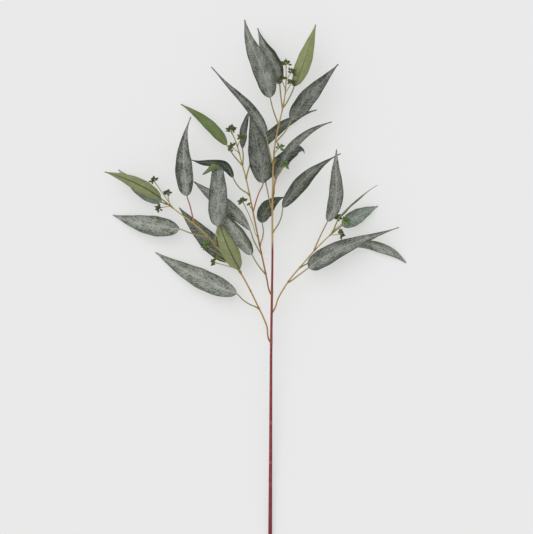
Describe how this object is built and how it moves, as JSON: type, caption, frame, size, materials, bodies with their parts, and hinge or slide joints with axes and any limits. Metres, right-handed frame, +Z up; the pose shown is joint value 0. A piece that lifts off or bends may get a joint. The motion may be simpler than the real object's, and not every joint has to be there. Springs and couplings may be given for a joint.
{
  "type": "eucalyptus branch",
  "caption": "Long cut branch lying flat: a straight bare stem that forks near the top into side stems with long sickle-shaped leaves and small clusters of buds.",
  "frame": {"origin": "on the surface that the branch lies on, under the middle of its footprint", "axes": "+Y along the main stem, from its cut end to its tip; +Z up from the surface; +X to the right of the stem seen from above"},
  "size_m": [0.5162, 0.9, 0.0853],
  "materials": {
    "red_stem": "satin plastic coat over wire, dark red below and tan above",
    "tan_stem": "satin plastic coat over wire, tan to olive yellow",
    "frosted_leaf": "matte grey-green with a whitish printed bloom over dark green",
    "olive_leaf": "matte olive green, the paler underside of a leaf",
    "green_buds": "moulded, bright to dark green with yellowish bases"
  },
  "bodies": {
    "root": {"main_stem": "red_stem", "lower_left_stem": "tan_stem", "upper_left_stem": "tan_stem", "right_stem": "tan_stem", "main_leaf_1": "frosted_leaf", "main_leaf_2": "frosted_leaf", "main_leaf_3": "olive_leaf", "main_leaf_4": "frosted_leaf", "main_leaf_5": "frosted_leaf", "main_leaf_6": "frosted_leaf", "main_leaf_7": "frosted_leaf", "main_leaf_8": "frosted_leaf", "upper_left_leaf_1": "olive_leaf", "upper_left_leaf_2": "frosted_leaf", "upper_left_leaf_3": "frosted_leaf", "upper_left_leaf_4": "frosted_leaf", "upper_left_leaf_5": "frosted_leaf", "upper_left_leaf_6": "frosted_leaf", "upper_left_leaf_7": "frosted_leaf", "upper_left_leaf_8": "frosted_leaf", "lower_left_leaf_1": "frosted_leaf", "lower_left_leaf_2": "olive_leaf", "lower_left_leaf_3": "frosted_leaf", "lower_left_leaf_4": "frosted_leaf", "lower_left_leaf_5": "frosted_leaf", "lower_left_leaf_6": "frosted_leaf", "lower_left_leaf_7": "olive_leaf", "lower_left_leaf_8": "frosted_leaf", "right_leaf_1": "frosted_leaf", "right_leaf_2": "frosted_leaf", "right_leaf_3": "frosted_leaf", "right_leaf_4": "frosted_leaf", "right_leaf_5": "frosted_leaf", "main_buds_1": "green_buds", "main_buds_2": "green_buds", "main_buds_3": "green_buds", "main_buds_4": "green_buds", "main_buds_5": "green_buds", "main_buds_6": "green_buds", "main_buds_7": "green_buds", "upper_left_buds_1": "green_buds", "upper_left_buds_2": "green_buds", "upper_left_buds_3": "green_buds", "upper_left_buds_4": "green_buds", "upper_left_buds_5": "green_buds", "lower_left_buds_1": "green_buds", "lower_left_buds_2": "green_buds", "lower_left_buds_3": "green_buds", "lower_left_buds_4": "green_buds", "lower_left_buds_5": "green_buds", "lower_left_buds_6": "green_buds", "right_buds_1": "green_buds", "right_buds_2": "green_buds", "right_buds_3": "green_buds"}
  },
  "joints": []
}
